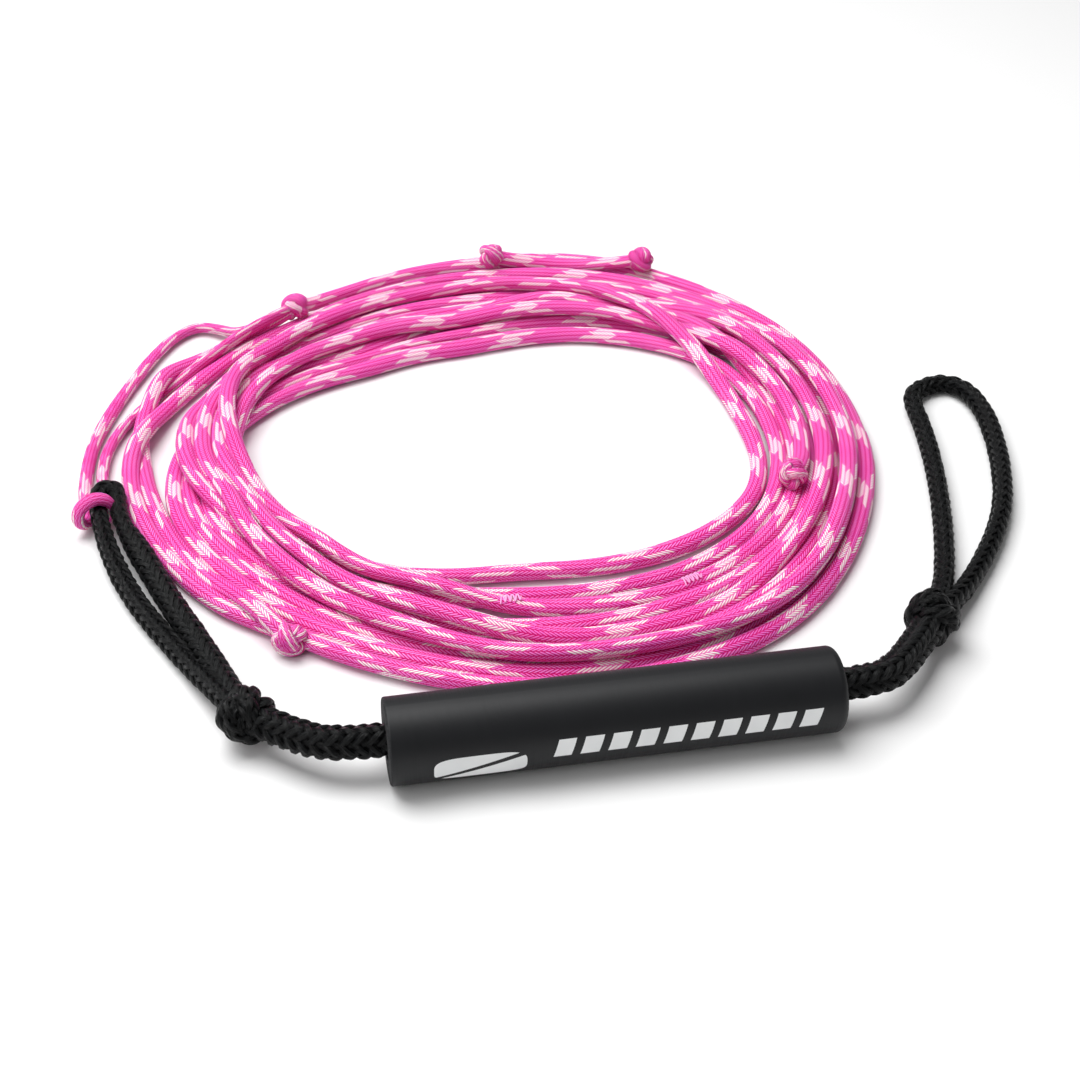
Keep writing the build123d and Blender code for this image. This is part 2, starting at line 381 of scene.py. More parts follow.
# %% Helper for grids of rings
def ringed_mesh(name, rings, along, closed=False):
    """A mesh of tubes.  rings is tubes x rings x corners x 3 in mm, along is each ring's distance.
    The UV map holds the distance along in metres, and the turns around plus the tube's number."""
    tubes, count, corners, _ = rings.shape
    index = np.arange(tubes * count * corners).reshape(tubes, count, corners)
    here, ahead = (index, np.roll(index, -1, axis=1)) if closed else (index[:, :-1], index[:, 1:])
    quads = np.stack([here, np.roll(here, -1, axis=2), np.roll(ahead, -1, axis=2), ahead], axis=3)
    rows = quads.shape[1]
    step = travelled(np.array([along]).T)
    ahead_of = np.append(step[1:], step[-1] + step[1] - step[0]) if closed else step[1:]
    u0 = np.broadcast_to(step[None, :rows, None], quads.shape[:3])
    u1 = np.broadcast_to(ahead_of[None, :rows, None], quads.shape[:3])
    turn = np.arange(corners) / corners
    v0 = np.broadcast_to(turn[None, None, :] + np.arange(tubes)[:, None, None], quads.shape[:3])
    v1 = v0 + 1 / corners
    uv = np.stack(
        [np.stack([u0, v0], 3), np.stack([u0, v1], 3), np.stack([u1, v1], 3), np.stack([u1, v0], 3)],
        axis=3,
    ).reshape(-1, 2)
    uv[:, 0] *= MM
    loops = quads.reshape(-1)
    sizes = np.full(len(loops) // 4, 4)
    if not closed:
        caps = np.concatenate([index[:, 0, ::-1], index[:, -1]]).reshape(-1)
        loops = np.concatenate([loops, caps])
        sizes = np.concatenate([sizes, np.full(2 * tubes, corners)])
        uv = np.concatenate([uv, np.zeros((len(caps), 2))])
    mesh = bpy.data.meshes.new(name)
    mesh.vertices.add(rings.size // 3)
    mesh.vertices.foreach_set("co", (rings.reshape(-1) * MM).astype(np.float32))
    mesh.loops.add(len(loops))
    mesh.loops.foreach_set("vertex_index", loops.astype(np.int32))
    mesh.polygons.add(len(sizes))
    starts = np.concatenate([[0], np.cumsum(sizes)[:-1]])
    mesh.polygons.foreach_set("loop_start", starts.astype(np.int32))
    mesh.update(calc_edges=True)
    mesh.uv_layers.new(name="rope").data.foreach_set("uv", uv.reshape(-1).astype(np.float32))
    mesh.polygons.foreach_set("use_smooth", np.ones(len(sizes), dtype=bool))
    mesh.validate()
    return mesh


def show(mesh, name, material, body="rope"):
    """Puts a mesh in the scene as a piece of one material that rides with a body."""
    piece = bpy.data.objects.new(name, mesh)
    bpy.context.collection.objects.link(piece)
    mesh.materials.append(material)
    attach(piece, body)
    return piece


# %% [markdown]
# ## The pink line's braid
# A hollow braid is a sleeve of flat ends, half of them winding each way.  The real one has many
# ends, too fine to build one by one over eight metres, so the sleeve is one tube, and its surface
# is raised where an end lies on top.  Each end goes over four and under four, which gives rows of
# small V shapes along the rope.

# %% The hollow braid's tube
LINE_LAY = 48.0  # mm in which an end goes once round the line
CARRIERS = 24  # ends each way, which makes a V every 2 mm
FLOAT_OVER = 4  # crossings that an end stays on top
RIB = 0.35  # mm from a gap to the top of an end
SHOULDER = 0.7  # below 1 makes an end's top flatter than a half circle
END_FALL = 0.3  # small, so that an end drops quickly where it goes under
STEPS_TO_A_LAY = 64


def twill_height(along, turn, lay):
    """How high the braid stands, 0 to 1, where ends that go four over and four under cross."""
    a = CARRIERS * (turn + along / lay)
    b = CARRIERS * (turn - along / lay)
    repeat = 2 * FLOAT_OVER
    over = (np.floor(a) + np.floor(b)) % repeat < FLOAT_OVER
    long_a = np.sin(np.pi * ((np.floor(a) + b) % repeat) / FLOAT_OVER)
    long_b = np.sin(np.pi * (((a + np.floor(b)) % repeat) - FLOAT_OVER) / FLOAT_OVER)
    top_a = np.abs(np.sin(np.pi * (a % 1))) ** SHOULDER * np.clip(long_a, 0, 1) ** END_FALL
    top_b = np.abs(np.sin(np.pi * (b % 1))) ** SHOULDER * np.clip(long_b, 0, 1) ** END_FALL
    return np.where(over, top_a, top_b)


def hollow_braid(name, line, diameter, flat, lay=LINE_LAY, closed=False, corners=48, seed=1):
    """A hollow braided tube along a line in mm, slightly flat, rolling slowly, its ribs in the grid."""
    step = lay / STEPS_TO_A_LAY
    line, _ = even_steps(line, step)
    along = np.arange(len(line)) * step
    if closed:
        line, along = line[:-1], along[:-1]
    side, up = turning_frames(line, closed)
    chance = np.random.default_rng(seed)
    phase = chance.uniform(0, 2 * np.pi, 4)
    # Slow waves: the flat side rolls and the width changes by a few percent along the line.
    roll = 0.5 * np.sin(along / 41 + phase[0]) + 0.4 * np.sin(along / 97 + phase[1])
    swell = 1 + 0.03 * np.sin(along / 23 + phase[2]) + 0.02 * np.sin(along / 9 + phase[3])
    turn = (np.arange(corners) / corners)[None, :]
    angle = 2 * np.pi * turn
    radius = diameter / 2 * swell[:, None]
    across = radius * np.cos(angle)
    high = radius * flat * np.sin(angle)
    lift = RIB * (twill_height(along[:, None], turn, lay) - 0.6)
    scale = 1 + lift / radius
    wide = side * np.cos(roll)[:, None] + up * np.sin(roll)[:, None]
    tall = up * np.cos(roll)[:, None] - side * np.sin(roll)[:, None]
    rings = (
        line[:, None, :]
        + (across * scale)[:, :, None] * wide[:, None, :]
        + (high * scale)[:, :, None] * tall[:, None, :]
    )
    return ringed_mesh(name, rings[None], along, closed)


share = np.linspace(0, 1, 200)
sample = twill_height(share[:, None] * LINE_LAY, share[None, :], LINE_LAY)
print(f"the pink braid's mean height is {sample.mean():.2f} of its rib")

# %% [markdown]
# ## The black rope's braid
# Sixteen flat bundles of soft yarn, eight each way, each over two and under two.  They are wide
# enough to see one by one, and their edges make the rope's outline bumpy.  A bump map would leave
# the outline smooth, so every bundle is its own tube, and it waves in and out as it crosses.

# %% The coarse braid's bundles
BUNDLE_THICKNESS = 2.0 / 13.0  # for each mm of the rope's thickness
BUNDLE_WAVE = 0.45  # how far it moves in and out, for each mm of its thickness
BUNDLE_FILL = 0.98  # its width, as a share of the room that it has
WANDER = 0.035  # radians that it strays sideways
SWELL = 0.06  # share of its thickness that it stands higher or lower
BUNDLE_CORNERS = np.array(
    [(-0.5, 0.0), (-0.36, -0.42), (0.36, -0.42), (0.5, 0.0), (0.25, 0.5), (-0.25, 0.5)]
)


def coarse_braid(name, line, diameter, lay, closed=False, bundles=8, seed=1):
    """Flat bundles braided over a line in mm, this many each way, each over two and under two.
    diameter is one number, or pairs of a distance along and the diameter there."""
    line, along = even_steps(line, 0.8)
    if np.ndim(diameter):
        diameter = np.interp(along, [d[0] for d in diameter], [d[1] for d in diameter])
    else:
        diameter = np.full(len(along), float(diameter))
    if closed:
        diameter = diameter[:-1]
    thick = BUNDLE_THICKNESS * diameter
    wave = BUNDLE_WAVE * thick
    chance = np.random.default_rng(seed)
    if closed:
        line, along = line[:-1], along[:-1]
        lay = travelled(np.vstack([line, line[:1]]))[-1] / max(1, round(travelled(line)[-1] / lay))
    side, up = turning_frames(line, closed)
    base = diameter / 2 - thick / 2 - wave
    lean = np.arctan2(2 * np.pi * base, lay)
    width = 2 * np.pi * base / bundles * np.cos(lean) * BUNDLE_FILL
    tubes = []
    for way in (1, -1):
        for number in range(bundles):
            turned = 2 * np.pi * along / lay
            drift = chance.uniform(0, 2 * np.pi, 3)
            uneven = np.sin(along / 5.3 + drift[0]) + 0.6 * np.sin(along / 2.1 + drift[1])
            if closed:
                uneven = uneven * 0.0
            angle = way * turned + 2 * np.pi * number / bundles + WANDER * uneven
            crossing = (2 * bundles * along / lay + way * 2 * number - 0.5) / 4
            radius = base + way * wave * np.cos(2 * np.pi * crossing)
            radius = radius + SWELL * thick * np.roll(uneven, 5)
            out = side * np.cos(angle)[:, None] + up * np.sin(angle)[:, None]
            path = line + out * radius[:, None]
            along_bundle = np.gradient(path, axis=0)
            if closed:
                along_bundle[0] = path[1] - path[-1]
                along_bundle[-1] = path[0] - path[-2]
            along_bundle /= np.linalg.norm(along_bundle, axis=1)[:, None]
            across = np.cross(out, along_bundle)
            across /= np.linalg.norm(across, axis=1)[:, None]
            outward = np.cross(along_bundle, across)
            tubes.append(
                path[:, None, :]
                + (BUNDLE_CORNERS[None, :, 0] * width[:, None])[:, :, None] * across[:, None, :]
                + (BUNDLE_CORNERS[None, :, 1] * thick[:, None])[:, :, None] * outward[:, None, :]
            )
    return ringed_mesh(name, np.array(tubes), along, closed)


def plain_tube(name, line, diameter, step, corners):
    """A smooth tube: the soft filling inside a braid, or a sewing thread."""
    line, along = even_steps(line, step)
    side, up = turning_frames(line)
    angle = np.linspace(0, 2 * np.pi, corners, endpoint=False)
    wide = np.cos(angle)[None, :, None] * side[:, None, :]
    tall = np.sin(angle)[None, :, None] * up[:, None, :]
    rings = line[:, None, :] + (wide + tall) * diameter / 2
    return ringed_mesh(name, rings[None], along)


print(f"a bundle of the {BRIDLE:.0f} mm rope is {BUNDLE_THICKNESS * BRIDLE:.1f} mm thick")

# %% [markdown]
# ## Materials
# Each finish starts from the real one.  The foam is ground nitrile with a satin skin, the black
# rope is spun polyester, and the line is glossy polyethylene in two colours.  A material is a
# small graph of nodes, and one function is enough to build it: it adds a node and links it to
# those made before.

# %% Helpers for materials
MATH = "ShaderNodeMath"
MIX = "ShaderNodeMix"
NOISE = "ShaderNodeTexNoise"


def srgb(colour):
    """Linear RGBA from an sRGB hex value such as "ee4fc0"."""
    values = [int(colour[i : i + 2], 16) / 255 for i in (0, 2, 4)]
    return [v / 12.92 if v <= 0.04045 else ((v + 0.055) / 1.055) ** 2.4 for v in values] + [1.0]


def add(tree, kind, *values, **settings):
    """Adds a node and returns it.  settings are its properties.  values go to its inputs in turn,
    or by name from a dictionary: a number or colour is set, and a node or a socket is linked."""
    made = tree.nodes.new(kind)
    for name, value in settings.items():
        setattr(made, name, value)
    named = values[0] if values and isinstance(values[0], dict) else dict(enumerate(values))
    for name, value in named.items():
        if isinstance(value, bpy.types.Node):
            value = value.outputs[0]
        if isinstance(value, bpy.types.NodeSocket):
            tree.links.new(value, made.inputs[name])
        else:
            made.inputs[name].default_value = value
    return made


def new_material(name):
    """A material with no nodes yet."""
    material = bpy.data.materials.new(name)
    material.use_nodes = True
    material.node_tree.nodes.clear()
    return material, material.node_tree


print("linear value of sRGB ee4fc0:", [round(v, 3) for v in srgb("ee4fc0")])

# %% [markdown]
# ## Polyethylene line
# The line is a hollow braid of polyethylene ends, most of them pink and a few white.  The plastic
# is waxy and glossy, so its ribs catch small highlights, and light passes a little way into the
# pink.  The gaps between ribs are painted a deeper, saturated pink as painted shade, which keeps
# them from going grey.  The nodes work out the same braid as the mesh does, from the distance along
# and the turn around, so that the colours follow the ends.  White ends lie side by side, eight one
# way and six the other, and where both are on top the rope shows a white patch.

# %% Material of the pink line
WHITE_ENDS = ((3.5, 3.6), (10.5, 2.9))  # the middle and the reach of the white ends, for each way


def polyethylene_line():
    material, tree = new_material("polyethylene_braid")
    parts = add(tree, "ShaderNodeSeparateXYZ", add(tree, "ShaderNodeUVMap", uv_map="rope")).outputs
    along = add(tree, MATH, parts[0], CARRIERS / (LINE_LAY * MM), operation="MULTIPLY")
    around = add(tree, MATH, parts[1], float(CARRIERS), operation="MULTIPLY")
    a = add(tree, MATH, around, along, operation="ADD")
    b = add(tree, MATH, around, along, operation="SUBTRACT")
    whole_a = add(tree, MATH, a, operation="FLOOR")
    whole_b = add(tree, MATH, b, operation="FLOOR")
    repeat = 2.0 * FLOAT_OVER
    crossing = add(tree, MATH, whole_a, whole_b, operation="ADD")
    crossing = add(tree, MATH, crossing, repeat, operation="FLOORED_MODULO")
    over = add(tree, MATH, crossing, FLOAT_OVER - 0.5, operation="LESS_THAN")
    under = add(tree, MATH, 1.0, over, operation="SUBTRACT")
    ways = []
    for own, whole, other, start, on_top, (middle, reach) in (
        (a, whole_a, b, 0.0, over, WHITE_ENDS[0]),
        (b, whole_b, a, float(FLOAT_OVER), under, WHITE_ENDS[1]),
    ):
        run = add(tree, MATH, whole, other, operation="ADD")
        run = add(tree, MATH, run, repeat, operation="FLOORED_MODULO")
        run = add(tree, MATH, run, start, operation="SUBTRACT")
        rise = add(tree, MATH, run, math.pi / FLOAT_OVER, operation="MULTIPLY")
        rise = add(tree, MATH, rise, operation="SINE")
        ridge = add(tree, MATH, add(tree, MATH, own, operation="FRACT"), math.pi, operation="MULTIPLY")
        ridge = add(tree, MATH, ridge, operation="SINE")
        number = add(tree, MATH, whole, float(CARRIERS), operation="FLOORED_MODULO")
        is_white = add(tree, MATH, number, middle, reach, operation="COMPARE")
        ways.append([add(tree, MATH, v, on_top, operation="MULTIPLY") for v in (rise, ridge, is_white)])
    rise, ridge, white = (add(tree, MATH, *both, operation="ADD") for both in zip(*ways))
    ends = add(tree, MATH, add(tree, MATH, rise, 0.0, operation="MAXIMUM"), END_FALL, operation="POWER")
    tops = add(tree, MATH, ridge, SHOULDER, operation="POWER")
    height = add(tree, MATH, tops, ends, operation="MULTIPLY")
    # The dye varies over a centimetre or two.  Between ribs and down their flanks the colour is painted
    # shade: a deeper pink, and a pinker white.
    position = add(tree, "ShaderNodeNewGeometry")
    slow = add(tree, NOISE, {"Vector": position, "Scale": 60.0, "Detail": 2.0})
    pinks = add(tree, MIX, {0: slow, 6: srgb("f05ac6"), 7: srgb("f690dc")}, data_type="RGBA")
    whites = add(tree, MIX, {0: slow, 6: srgb("f7eee6"), 7: srgb("fdf9f5")}, data_type="RGBA")
    rib = add(tree, MIX, {0: white, 6: pinks.outputs[2], 7: whites.outputs[2]}, data_type="RGBA")
    # Painted shade: the colours where the braid is low, a deep pink and a pinker white.
    painted_gap_shade = add(tree, MIX, {0: white, 6: srgb("d60078"), 7: srgb("e672b4")}, data_type="RGBA")
    # The painted shade is full where the braid is below half its rib, and gone near the tops of the
    # ribs.
    depth = add(
        tree, "ShaderNodeMapRange", {0: height, 1: 0.5, 2: 0.85}, interpolation_type="SMOOTHSTEP"
    )
    colour = add(tree, MIX, {0: depth, 6: painted_gap_shade.outputs[2], 7: rib.outputs[2]}, data_type="RGBA")
    bump = add(tree, "ShaderNodeBump", {"Strength": 0.6, "Distance": 0.4 * MM, "Height": height})
    shader = add(
        tree,
        "ShaderNodeBsdfPrincipled",
        {
            "Base Color": colour.outputs[2],
            "Roughness": 0.36,
            "Normal": bump,
            "IOR": 1.51,
            "Specular IOR Level": 0.18,
            "Subsurface Weight": 0.2,
            "Subsurface Scale": 2.0 * MM,
        },
    )
    add(tree, "ShaderNodeOutputMaterial", {"Surface": shader})
    return material


pink_line = polyethylene_line()
print(pink_line.name, "has", len(pink_line.node_tree.nodes), "nodes")

# %% [markdown]
# ## Spun polyester rope
# Each black bundle is hundreds of fine filaments.  They give it a soft sheen and fine ridges along
# its length.  The colour has lighter streaks along the bundles: painted sheen of the filaments,
# mixed with some yarn tone.  The noise is stretched along the bundle: about 6 mm long and a sixth
# of a bundle's turn wide, coarser than the real filaments, which are too fine to show.

# %% Material of the black rope
YARN_ALONG = 160.0  # yarn patches to the metre
YARN_AROUND = 13.0  # yarn patches in a turn round the bundle


def spun_polyester():
    material, tree = new_material("spun_polyester_rope")
    parts = add(tree, "ShaderNodeSeparateXYZ", add(tree, "ShaderNodeUVMap", uv_map="rope")).outputs
    stretched = add(
        tree,
        "ShaderNodeCombineXYZ",
        add(tree, MATH, parts[0], YARN_ALONG, operation="MULTIPLY"),
        add(tree, MATH, parts[1], YARN_AROUND, operation="MULTIPLY"),
    )
    yarn = add(tree, NOISE, {"Vector": stretched, "Scale": 1.0, "Detail": 3.0, "Roughness": 0.6})
    position = add(tree, "ShaderNodeNewGeometry")
    patch = add(tree, NOISE, {"Vector": position, "Scale": 220.0, "Detail": 2.0})
    # Lighter streaks along the bundles: painted sheen of the filaments, mixed with some yarn tone.
    yarn_tone_and_sheen = add(tree, "ShaderNodeMapRange", yarn, 0.42, 0.68)
    colour = add(tree, MIX, {0: yarn_tone_and_sheen, 6: srgb("010101"), 7: srgb("111315")}, data_type="RGBA")
    rough = add(tree, MATH, patch, 0.2, 0.24, operation="MULTIPLY_ADD")
    bump = add(tree, "ShaderNodeBump", {"Strength": 1.0, "Distance": 0.9 * MM, "Height": yarn})
    shader = add(
        tree,
        "ShaderNodeBsdfPrincipled",
        {
            "Base Color": colour.outputs[2],
            "Roughness": rough,
            "Normal": bump,
            "Specular IOR Level": 0.17,
        },
    )
    add(tree, "ShaderNodeOutputMaterial", {"Surface": shader})
    return material


black_rope = spun_polyester()
print(black_rope.name, "has", len(black_rope.node_tree.nodes), "nodes")

# %% [markdown]
# ## Fibre and thread
# The filling of the black rope is loose dark fibre.  Only slits of it show between bundles, so it
# is matt, with a little mottling.  The splices are sewn with bonded nylon thread, which is pink,
# smooth and slightly shiny.  Both are a mottled colour with one roughness, so one function makes
# them from a table.


# %% Materials of the filling and the sewing thread
def mottled(name, scale, dark, light, roughness):
    material, tree = new_material(name)
    grain = add(tree, NOISE, {"Scale": scale, "Detail": 2.0})
    colour = add(tree, MIX, {0: grain, 6: srgb(dark), 7: srgb(light)}, data_type="RGBA")
    shader = add(
        tree, "ShaderNodeBsdfPrincipled", {"Base Color": colour.outputs[2], "Roughness": roughness}
    )
    add(tree, "ShaderNodeOutputMaterial", {"Surface": shader})
    return material


filling = mottled("polyester_filling", 900.0, "040405", "0b0c0c", 0.85)
thread = mottled("bonded_nylon_thread", 700.0, "ee6cc4", "fbc9e8", 0.4)
print("materials:", [m.name for m in bpy.data.materials if m.users])

# %% [markdown]
# ## The main line
# The settled points are the control points of one NURBS spline, so the whole coil is one rope
# from the take-off knot to its hitch.  Every second point is enough, and gives a calmer curve.

# %% Main line, coiled
LINE_FLAT = 0.86  # height of the line as a share of its width: a hollow braid lies a little flat
main_control = coil_points[::2]
if len(coil_points) % 2 == 0:
    main_control = np.vstack([main_control, coil_points[-1:]])
main_line = spline_line(main_control)
mesh = hollow_braid("main_line", main_line, LINE + 0.1, LINE_FLAT)
main_rope = show(mesh, "main_line", pink_line)
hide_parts("main_line_coil")

# %% [markdown]
# ## Take-off loops
# Between two take-off knots a loop of the line stands beside the main run, where a shorter rope
# can be taken off.  The loop is the same braid on its own route between the two knots.

# %% Second strands of the two take-off loops
seconds = []
for name, points, seed in (
    ("take_off_loop_left", left_points, 5),
    ("take_off_loop_far", far_points, 8),
):
    second = spline_line(points)
    mesh = hollow_braid(name, second, LINE - 0.2, LINE_FLAT, seed=seed)
    piece = show(mesh, name, pink_line)
    seconds.append((piece, second))
    print(f"{name} {travelled(second)[-1]:.0f} mm")

# %% [markdown]
# ## The line's end eye
# The line's own end is an eye, hitched round one leg of the black rope's eye.  It is pulled thin
# and flat there.  Its two legs and the turn round the leg are one route, because they are one rope.

# %% Line eye and hitch
mesh = hollow_braid("line_end_loop", line_eye_line, LINE_EYE, 0.8, lay=40.0, seed=3)
line_loop = show(mesh, "line_end_loop", pink_line)
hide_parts("line_eye_outer_leg", "line_eye_inner_leg", "main_line_hitch")
print(f"line eye {travelled(line_eye_line)[-1]:.0f} mm round")

# %% [markdown]
# ## The black bridle
# One short black rope goes through the float and has a knot and an eye at each end.  Where its
# tail is buried in it, it is thicker, so the eye at the line end has a thick and a thin leg.  The
# eye could be two ropes joined at the tip, but one rope with a changing thickness has no joint.

# %% Bridle and its filling
FILLING_GRID = (3.0, 16)  # mm from ring to ring, and corners in a ring
BRIDLE_LAY = 38.6
bridle_line = spline_line(bridle_route)
mesh = coarse_braid("bridle_rope", bridle_line, BRIDLE, BRIDLE_LAY)
bridle = show(mesh, "bridle_rope", black_rope)
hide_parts("bridle_cover")
mesh = plain_tube("bridle_filling", bridle_line, BRIDLE - 4.0, *FILLING_GRID)
bridle_filling = show(mesh, "bridle_filling", filling)
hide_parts("bridle_buried_tail")
print(f"bridle {travelled(bridle_line)[-1]:.0f} mm from knot to knot")

# %% Eyes at both ends
EYE_BRAID = EYE + 0.5  # the braid's outer thickness
TIP = 7.8  # thickness where the eye is folded
line_side_line = spline_line(line_eye_route)
LEG_END = 145.0  # mm from the knot to where the buried tail ends
profile = [
    (0, LEG),
    (LEG_END - 20, LEG),
    (LEG_END, TIP),
    (LEG_END + 60, TIP),
    (LEG_END + 85, EYE_BRAID),
]
mesh = coarse_braid("line_end_eye_rope", line_side_line, profile, 45.0, seed=4)
line_side_eye = show(mesh, "line_end_eye_rope", black_rope)
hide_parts("line_end_eye_leg", "line_end_eye")
boat_side_line = spline_line(boat_eye_route)
mesh = coarse_braid("boat_end_eye_rope", boat_side_line, EYE_BRAID, 48.0, seed=6)
boat_side_eye = show(mesh, "boat_end_eye_rope", black_rope)
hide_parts("boat_end_eye")
for piece, line in ((line_side_eye, line_side_line), (boat_side_eye, boat_side_line)):
    mesh = plain_tube(piece.name + "_filling", line, EYE - 3.0, *FILLING_GRID)
    inside = show(mesh, piece.name + "_filling", filling)
    print(f"{piece.name} {travelled(line)[-1]:.0f} mm")

# %% [markdown]
# ## Knots
# A pulled overhand knot shows three strands that lean round its axis.  A knot could be one route
# tied in the rope, but its tight bends fold the braid.  The trefoil is the same knot closed on
# itself, so two closed trefoils round the rope's own direction, one inside the other, give the
# same wraps as a compact lump.


# %% Knot path
def knot_line(place, direction, reach, tube, tall, lean):
    """A closed trefoil in mm around a direction, wound on a ring of this reach and tube."""
    t = np.linspace(0, 2 * np.pi, 240)
    ring = reach + tube * np.cos(3 * t)
    turn = 2 * t + lean
    local = np.stack([ring * np.cos(turn), ring * np.sin(turn), tall * np.sin(3 * t)], axis=1)
    axis = np.array(direction, float)
    axis /= np.linalg.norm(axis)
    across = np.cross(axis, UP)
    across /= np.linalg.norm(across)
    return np.array(place, float) + local @ np.array([across, np.cross(axis, across), axis])


# %% Knots in the pink line
KNOT_BRAID = {"flat": 0.9, "lay": 40.0, "closed": True}
PINK_WRAP = 4.6  # thickness of a wrap: the line is squeezed in its knots
INNER_LEAN = 0.55  # radians that the inner wraps are turned against the outer ones
PINK_OUTER, PINK_INNER = (3.0, 1.5, 3.9), (3.1, 1.2, 2.0)  # reach, tube and tall of the wraps
for number, (node, (place, direction)) in enumerate(KNOT_PLACES.items()):
    outer = knot_line(place, direction, *PINK_OUTER, number)
    mesh = hollow_braid(node + "_wraps", outer, PINK_WRAP, seed=20 + number, **KNOT_BRAID)
    knot = show(mesh, node + "_wraps", pink_line)
    inner = knot_line(place, direction, *PINK_INNER, number + INNER_LEAN)
    mesh = hollow_braid(node + "_inner_wraps", inner, PINK_WRAP, seed=30 + number, **KNOT_BRAID)
    show(mesh, node + "_inner_wraps", pink_line)
    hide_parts(node)

# %% Knots in the black rope
BLACK_WRAP = 8.2
BLACK_BRAID = {"lay": 30.0, "closed": True, "bundles": 6}
BLACK_OUTER, BLACK_INNER = (4.9, 2.1, 5.6), (5.0, 1.8, 2.8)
for node, place, direction, lean in (
    ("line_end_knot", line_knot_at, (-0.8, 0.6, 0), 0.6),
    ("boat_end_knot", boat_knot_at, (0.55, 0.83, 0), 1.6),
):
    outer = knot_line(place, direction, *BLACK_OUTER, lean)
    mesh = coarse_braid(node + "_wraps", outer, BLACK_WRAP, **BLACK_BRAID)
    knot = show(mesh, node + "_wraps", black_rope)
    inner = knot_line(place, direction, *BLACK_INNER, lean + INNER_LEAN)
    mesh = coarse_braid(node + "_inner_wraps", inner, BLACK_WRAP, seed=2, **BLACK_BRAID)
    show(mesh, node + "_inner_wraps", black_rope)
    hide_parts(node)

# %% [markdown]
# ## Stitches
# The tail of each splice is buried in the line and sewn through, so that it can't creep out.  On
# the real line the thread shows as a short zigzag.  It is a thin tube on a route of its own, just
# above the braid, because it is too small for its holes to show.

# %% Stitches
THREAD = 0.7
THREAD_GRID = (0.4, 8)
ZIGZAGS = 9
SEWN_LENGTH = 8.0
SWING = 3.0  # mm from the middle of the line to each bend of the thread


def thread_zigzag(place, direction):
    """A thread that crosses the line from side to side, rising over its top between the bends."""
    axis = np.array(direction, float)
    axis /= np.linalg.norm(axis)
    across = np.array([-axis[1], axis[0], 0])
    points = []
    for number in range(ZIGZAGS):
        along = (number / (ZIGZAGS - 1) - 0.5) * SEWN_LENGTH
        swing = SWING if number % 2 else -SWING
        for back, share, high in ((-0.5, 0.95, 0.8), (0.0, 0.2, 2.42)):
            bend = axis * (along + back) + across * swing * share + np.array([0, 0, high])
            points.append(np.array(place) + bend)
    return np.array(points)


for node, direction in (("splice_stitch_1", (1, -0.03, 0)), ("splice_stitch_2", (0.93, 0.35, 0))):
    low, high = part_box(node)
    middle = np.array([(low[i] + high[i]) / 2 / MM for i in range(2)])
    nearest = main_line[np.argmin(np.linalg.norm(main_line[:, :2] - middle, axis=1))]
    line = spline_line(thread_zigzag(nearest + np.array([0, 0, 2.2]), direction))
    piece = show(plain_tube(node + "_thread", line, THREAD, *THREAD_GRID), node + "_thread", thread)
    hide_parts(node)
    print(f"{piece.name}: {travelled(line)[-1]:.0f} mm of thread")

# %% [markdown]
# ## The float
# Closed-cell foam, ground to a cylinder and then heat-skinned.  Its shape is simple and round, so
# the CAD solid stays and only gets a finish: a satin black skin with faint lines from grinding, and
# cut ends of open cells.  The print is generic: a rounded bar with a thin slanted cut through it,
# and a row of even slanted blocks.  It is worked out from the place on the surface, so it turns with
# the float and needs no picture.

# %% Sizes of the float's print, in metres
BAR_MIDDLE = -0.0515
BAR_HALF = (0.0165, 0.0056)  # half its length and half its height
BAR_LEVEL = -0.0032  # its height round the surface, from the float's widest line
CUT_SLOPE = 0.28
CUT_HALF = 0.0009
ROW_START = -0.025
ROW_HALF = 0.0495
ROW_LEVEL = 0.0012
ROW_HALF_HEIGHT = 0.0036
BLOCK_PITCH = 0.01
BLOCK_WIDTH = 0.0068
BLOCK_SLANT = 0.3
END_FACE = FLOAT_END - 0.0006
print(f"printed row: {2 * ROW_HALF / BLOCK_PITCH:.0f} blocks, {BLOCK_PITCH / MM:.0f} mm apart")


